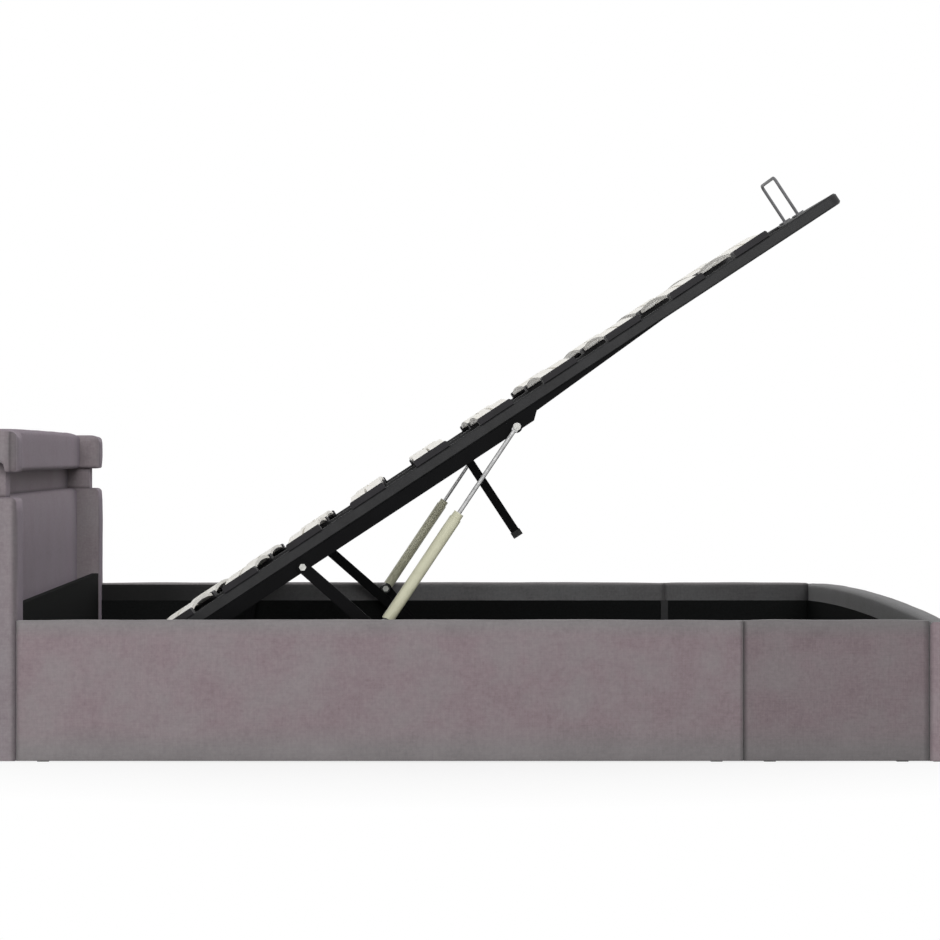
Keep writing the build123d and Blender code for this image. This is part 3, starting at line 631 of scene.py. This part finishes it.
def footPanel():
    low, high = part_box("footboard")
    top = footLook["sideTop"]
    panel = addBlock("footboard_cloth", low, (high.x, high.y, top))
    sliceEvenly(low, (high.x, high.y, top), footLook["cell"])
    leaveEditing()
    rise = footLook["arch"]
    half = high.y
    radius = (half ** 2 + rise ** 2) / (2 * rise)
    for vertex in panel.data.vertices:
        lift = math.sqrt(radius ** 2 - vertex.co.y ** 2) - (radius - rise)
        share = (vertex.co.z - low.z) / (top - low.z)
        vertex.co.z += lift * share
    workOn(panel)
    pick(panel, "EDGE", lambda place, edge: edgeRuns(edge, 1) and place.z > top - footLook["topBand"]
         and (near(place.x, low.x) or near(place.x, high.x)))
    bpy.ops.mesh.bevel(offset=footLook["edgeRound"], segments=4, affect="EDGES")
    leaveEditing()
    crownFaces(panel, low, high, footLook["rise"], footLook["pucker"],
               lambda place, normal: normal.z < -facing or normal.x < -leaning)
    panel.data.materials.append(mauveWeave)
    panel.data.materials.append(footWeave)
    topEdge = high.x - footLook["edgeRound"]
    # The inner face and the inner part of the top take the darker cloth, as painted shade
    for face in panel.data.polygons:
        if face.normal.x < -facing or face.normal.z > leaning and face.center.x < topEdge:
            face.material_index = 1
    smoothShade(panel)
    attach(panel, "base")
    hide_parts("footboard")


footPanel()
print("Footboard covered")


# Headboard: three uprights with set-back necks, three padded caps and the board behind

headLook = {"cornerRound": 0.013, "seamRound": 0.006, "neckIntoCap": 0.012, "neckInset": 0.013,
            "neckTopInset": 0.006, "neckSetback": 0.027, "neckBottom": 0.595, "shoulderBand": 0.02,
            "seamsBeyond": 0.68, "cell": 0.022, "rise": 0.0025, "centreRise": 0.007,
            "pucker": 0.0012}


def headUpright(nodeName, side):
    # One upright: the neck is set back from the front, and on a wing from both its sides
    low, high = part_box(nodeName)
    shoulder = headLook["neckBottom"]
    belowShoulder = shoulder - headLook["shoulderBand"]
    block = addBlock(nodeName + "_cloth", low, (high.x, high.y, shoulder))
    neckFront = high.x - headLook["neckSetback"]
    sliceAt((neckFront, 0, 0), (1, 0, 0))
    outer = high.y if side > 0 else low.y
    inner = low.y if side > 0 else high.y
    neckOuter = outer - side * headLook["neckSetback"]
    neckInner = inner + side * headLook["neckInset"]
    if side:
        sliceAt((0, neckOuter, 0), (0, 1, 0))
        sliceAt((0, neckInner, 0), (0, 1, 0))
    pick(block, "FACE", lambda place, face: near(place.z, shoulder) and place.x < neckFront
         and (not side or neckInner * side < place.y * side < neckOuter * side))
    bpy.ops.mesh.extrude_region_move(TRANSFORM_OT_translate={"value": (0, 0, high.z - shoulder)})
    bpy.ops.mesh.inset(thickness=headLook["neckTopInset"])
    intoCap = (0, 0, headLook["neckIntoCap"])
    bpy.ops.mesh.extrude_region_move(TRANSFORM_OT_translate={"value": intoCap})
    pick(block, "EDGE", lambda place, edge: near(place.z, shoulder) and near(place.x, high.x)
         or side and near(place.y, outer) and (near(place.z, shoulder)
                                               or near(place.x, high.x) and edgeRuns(edge, 2)))
    bpy.ops.mesh.bevel(offset=headLook["cornerRound"], segments=4, affect="EDGES")
    pick(block, "EDGE", lambda place, edge: edgeRuns(edge, 2) and near(place.x, high.x)
         and place.z < belowShoulder and abs(place.y) > headLook["seamsBeyond"])
    bpy.ops.mesh.bevel(offset=headLook["seamRound"], segments=3, affect="EDGES")
    sliceEvenly(low, high, headLook["cell"])
    leaveEditing()
    rise = headLook["rise"] if side else headLook["centreRise"]
    crownFaces(block, low, (high.x, high.y, shoulder), rise, headLook["pucker"],
               lambda place, normal: place.z > belowShoulder or normal.z < -facing
               or normal.x < -sloping or not side and abs(normal.y) > facing)
    smoothShade(block)
    dress(block, uprightWeave if side else centreWeave, nodeName)


headUpright("headboard_wing_left", -1)
headUpright("headboard_wing_right", 1)
headUpright("headboard_centre_panel", 0)

capLook = {"lipDepth": 0.0265, "lipAlongSide": 0.012, "lipHeight": 0.021, "lipDrop": 0.001,
           "round": 0.005, "lipRound": 0.003, "cell": 0.006, "shrink": 0.001, "quality": 5,
           "pressure": 3.0, "most": 0.004, "frames": 16, "heldAboveLip": 0.004, "freeFront": 0.01,
           "heldBack": 0.003, "smoothAngle": 80}


def capShape(nodeName, side):
    # A wing cap hangs lower at the front and along its inner side
    low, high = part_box(nodeName)
    shrink = Vector((capLook["shrink"],) * 3)
    low, high = low + shrink, high - shrink
    base = low.z + capLook["lipHeight"]
    cap = addBlock(nodeName + "_cloth", (low.x, low.y, base), high)
    lipBack = high.x - capLook["lipDepth"]
    inner = low.y if side > 0 else high.y
    lipInner = inner + side * capLook["lipAlongSide"]
    sliceAt((lipBack, 0, 0), (1, 0, 0))
    sliceAt((0, lipInner, 0), (0, 1, 0))
    pick(cap, "FACE", lambda place, face: near(place.z, base)
         and (place.x > lipBack or place.y * side < lipInner * side))
    drop = base - low.z + capLook["lipDrop"]
    bpy.ops.mesh.extrude_region_move(TRANSFORM_OT_translate={"value": (0, 0, -drop)})
    pick(cap, "EDGE", lambda place, edge: near(place.z, high.z)
         or edgeRuns(edge, 2) and near(place.x, high.x))
    bpy.ops.mesh.bevel(offset=capLook["round"], segments=4, affect="EDGES")
    pick(cap, "EDGE", lambda place, edge: near(place.z, base - drop))
    bpy.ops.mesh.bevel(offset=capLook["lipRound"], segments=2, affect="EDGES")
    leaveEditing()
    return cap, low, high


def puffUp(piece, look, held):
    # Cloth under pressure, stopped at a small distance, then kept as the mesh
    remesh = piece.modifiers.new("even", "REMESH")
    remesh.mode = "VOXEL"
    remesh.voxel_size = look["cell"]
    applyModifiers(piece)
    start = [vertex.co.copy() for vertex in piece.data.vertices]
    group = piece.vertex_groups.new(name="held")
    group.add([vertex.index for vertex in piece.data.vertices if held(vertex.co)], 1.0, "REPLACE")
    cloth = piece.modifiers.new("cloth", "CLOTH")
    cloth.settings.quality = look["quality"]
    cloth.settings.vertex_group_mass = "held"
    cloth.settings.use_pressure = True
    cloth.settings.uniform_pressure_force = look["pressure"]
    cloth.settings.effector_weights.gravity = 0
    scene = bpy.context.scene
    for number in range(1, look["frames"] + 1):
        scene.frame_set(number)
    posed = piece.evaluated_get(bpy.context.evaluated_depsgraph_get())
    places = [vertex.co.copy() for vertex in posed.data.vertices]
    piece.modifiers.remove(cloth)
    scene.frame_set(1)
    for vertex, first, last in zip(piece.data.vertices, start, places):
        move = last - first
        if move.length > look["most"]:
            move = move.normalized() * look["most"]
        vertex.co = first + move


def wingCap(nodeName, side):
    cap, low, high = capShape(nodeName, side)
    heldTop = low.z + capLook["lipHeight"] + capLook["heldAboveLip"]
    puffUp(cap, capLook, lambda place: place.z < heldTop and place.x < high.x - capLook["freeFront"]
           or place.x < low.x + capLook["heldBack"])
    relax = cap.modifiers.new("relax", "SMOOTH")
    relax.iterations = 1
    finer = cap.modifiers.new("finer", "SUBSURF")
    finer.levels = 1
    finer.render_levels = 1
    applyModifiers(cap)
    smoothShade(cap, capLook["smoothAngle"])
    dress(cap, capWeave, nodeName)


wingCap("headboard_cap_left", -1)
wingCap("headboard_cap_right", 1)

middleLook = {"forward": 0.008, "lipDepth": 0.0265, "lipHeight": 0.021, "round": 0.009,
              "cell": 0.022, "rise": 0.002, "pucker": 0.0012, "crown": 0.006}


def middleCap():
    # The middle cap butts against the wing caps, and its top is slightly crowned
    low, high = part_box("headboard_cap_centre")
    high.x += middleLook["forward"]
    base = low.z + middleLook["lipHeight"]
    cap = addBlock("headboard_cap_centre_cloth", (low.x, low.y, base), high)
    lipBack = high.x - middleLook["lipDepth"]
    sliceAt((lipBack, 0, 0), (1, 0, 0))
    pick(cap, "FACE", lambda place, face: near(place.z, base) and place.x > lipBack)
    bpy.ops.mesh.extrude_region_move(TRANSFORM_OT_translate={"value": (0, 0, low.z - base)})
    pick(cap, "EDGE", lambda place, edge: edgeRuns(edge, 1)
         and (near(place.z, high.z) or near(place.x, high.x)))
    bpy.ops.mesh.bevel(offset=middleLook["round"], segments=4, affect="EDGES")
    sliceEvenly(low, high, middleLook["cell"])
    leaveEditing()
    crownFaces(cap, low, high, middleLook["rise"], middleLook["pucker"],
               lambda place, normal: abs(normal.y) > facing or normal.z < -sloping
               or normal.x < -sloping)
    for vertex in cap.data.vertices:
        share = max(0, (vertex.co.z - base) / (high.z - base))
        swell = 1 - (vertex.co.y / high.y) ** padLook["squareness"]
        vertex.co.z += middleLook["crown"] * share * swell
    smoothShade(cap)
    dress(cap, centreCapWeave, "headboard_cap_centre")


middleCap()

backLook = {"round": 0.006, "cell": 0.03, "rise": 0.001, "pucker": 0.001, "squareFoot": 0.01}


def backBoard():
    low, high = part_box("headboard_backboard")
    board = addBlock("headboard_backboard_cloth", low, high)
    squareTop = low.z + backLook["squareFoot"]
    pick(board, "EDGE", lambda place, edge: near(place.x, low.x) and place.z > squareTop)
    bpy.ops.mesh.bevel(offset=backLook["round"], segments=3, affect="EDGES")
    sliceEvenly(low, high, backLook["cell"])
    leaveEditing()
    crownFaces(board, low, high, backLook["rise"], backLook["pucker"],
               lambda place, normal: abs(normal.x) < facing or normal.x > 0)
    smoothShade(board)
    dress(board, mauveWeave, "headboard_backboard")


backBoard()
print("Headboard covered")


# Floor, light and background

stageLook = {"floorSize": 160, "floorWhite": 0.86, "nearShare": 0.7, "nearReach": 1.0,
             "farReach": 1.9, "footprint": (0.9, 1.26, 0), "skyHead": 0.62, "skyFoot": 0.34,
             "skyFront": 1.1, "skyBack": 0.8, "keyStrength": 2.25, "keySpread": 40,
             "keyPlace": (0.4, -5.0, 3.2), "keyTarget": (-0.2, 0, 0.3), "fillPower": 10,
             "fillSize": 3.0, "fillPlace": (4.0, -2.0, 3.0), "fillTarget": (0, 0, 0.4)}


def cameraOrMirror(tree):
    # One where the ray comes from the camera, a mirror or glass
    path = tree.nodes.new("ShaderNodeLightPath")
    total = path.outputs["Is Camera Ray"]
    for name in ("Is Glossy Ray", "Is Transmission Ray"):
        step = tree.nodes.new("ShaderNodeMath")
        step.operation = "MAXIMUM"
        tree.links.new(total, step.inputs[0])
        tree.links.new(path.outputs[name], step.inputs[1])
        total = step.outputs[0]
    return total


def addFloor():
    leaveEditing()
    bpy.ops.mesh.primitive_plane_add(size=stageLook["floorSize"], location=(0, 0, 0))
    floor = bpy.context.object
    floor.name = "floor"
    material = newMaterial("paleFloor", roughness=0.9)
    white = stageLook["floorWhite"]
    giveSocket(material, **{"Base Color": (white, white, white, 1), "Specular IOR Level": 0.1})
    tree = material.node_tree
    glow = tree.nodes.new("ShaderNodeEmission")
    away = addNode(material, "ShaderNodeVectorMath", operation="LENGTH")
    join(material, objectPlace(material, stageLook["footprint"]), away.inputs[0])
    whiteness = addNode(material, "ShaderNodeMapRange",
                        {"From Min": stageLook["nearReach"], "From Max": stageLook["farReach"],
                         "To Min": stageLook["nearShare"], "To Max": 1.0})
    join(material, away.outputs["Value"], whiteness.inputs["Value"])
    share = addNode(material, "ShaderNodeMath", operation="MULTIPLY")
    join(material, cameraOrMirror(tree), share.inputs[0])
    join(material, whiteness.outputs["Result"], share.inputs[1])
    blend = tree.nodes.new("ShaderNodeMixShader")
    tree.links.new(share.outputs[0], blend.inputs[0])
    tree.links.new(tree.nodes["Principled BSDF"].outputs[0], blend.inputs[1])
    tree.links.new(glow.outputs[0], blend.inputs[2])
    tree.links.new(blend.outputs[0], tree.nodes["Material Output"].inputs["Surface"])
    floor.data.materials.append(material)


def skyStrength(tree):
    # Light for the object: strongest from the front and the head end
    place = tree.nodes.new("ShaderNodeTexCoord")
    split = tree.nodes.new("ShaderNodeSeparateXYZ")
    tree.links.new(place.outputs["Generated"], split.inputs[0])
    total = None
    for axis, first, last in (("X", stageLook["skyHead"], stageLook["skyFoot"]),
                              ("Y", stageLook["skyFront"], stageLook["skyBack"])):
        spread = tree.nodes.new("ShaderNodeMapRange")
        for name, value in (("From Min", -1), ("From Max", 1), ("To Min", first), ("To Max", last)):
            spread.inputs[name].default_value = value
        tree.links.new(split.outputs[axis], spread.inputs["Value"])
        if total is None:
            total = spread.outputs["Result"]
        else:
            step = tree.nodes.new("ShaderNodeMath")
            step.operation = "MULTIPLY"
            tree.links.new(total, step.inputs[0])
            tree.links.new(spread.outputs["Result"], step.inputs[1])
            total = step.outputs[0]
    return total


def addSky():
    world = bpy.data.worlds.new("paleRoom")
    world.use_nodes = True
    tree = world.node_tree
    light = tree.nodes["Background"]
    light.inputs["Color"].default_value = (1, 1, 1, 1)
    tree.links.new(skyStrength(tree), light.inputs["Strength"])
    white = tree.nodes.new("ShaderNodeBackground")
    white.inputs["Color"].default_value = (1, 1, 1, 1)
    blend = tree.nodes.new("ShaderNodeMixShader")
    tree.links.new(cameraOrMirror(tree), blend.inputs[0])
    tree.links.new(light.outputs[0], blend.inputs[1])
    tree.links.new(white.outputs[0], blend.inputs[2])
    tree.links.new(blend.outputs[0], tree.nodes["World Output"].inputs["Surface"])
    bpy.context.scene.world = world


def placeLamp(name, data, place, target):
    lamp = bpy.data.objects.new(name, data)
    lamp.location = place
    lamp.rotation_euler = (Vector(target) - Vector(place)).to_track_quat("-Z", "Y").to_euler()
    bpy.context.scene.collection.objects.link(lamp)


def addKey():
    # A broad even light from the front, a little to the foot end
    data = bpy.data.lights.new("softKey", "SUN")
    data.energy = stageLook["keyStrength"]
    data.angle = math.radians(stageLook["keySpread"])
    placeLamp("softKey", data, stageLook["keyPlace"], stageLook["keyTarget"])


def addFill():
    data = bpy.data.lights.new("softFill", "AREA")
    data.shape = "SQUARE"
    data.size = stageLook["fillSize"]
    data.energy = stageLook["fillPower"]
    placeLamp("softFill", data, stageLook["fillPlace"], stageLook["fillTarget"])


addFloor()
addSky()
addKey()
addFill()
print("Studio lit")

leaveEditing()
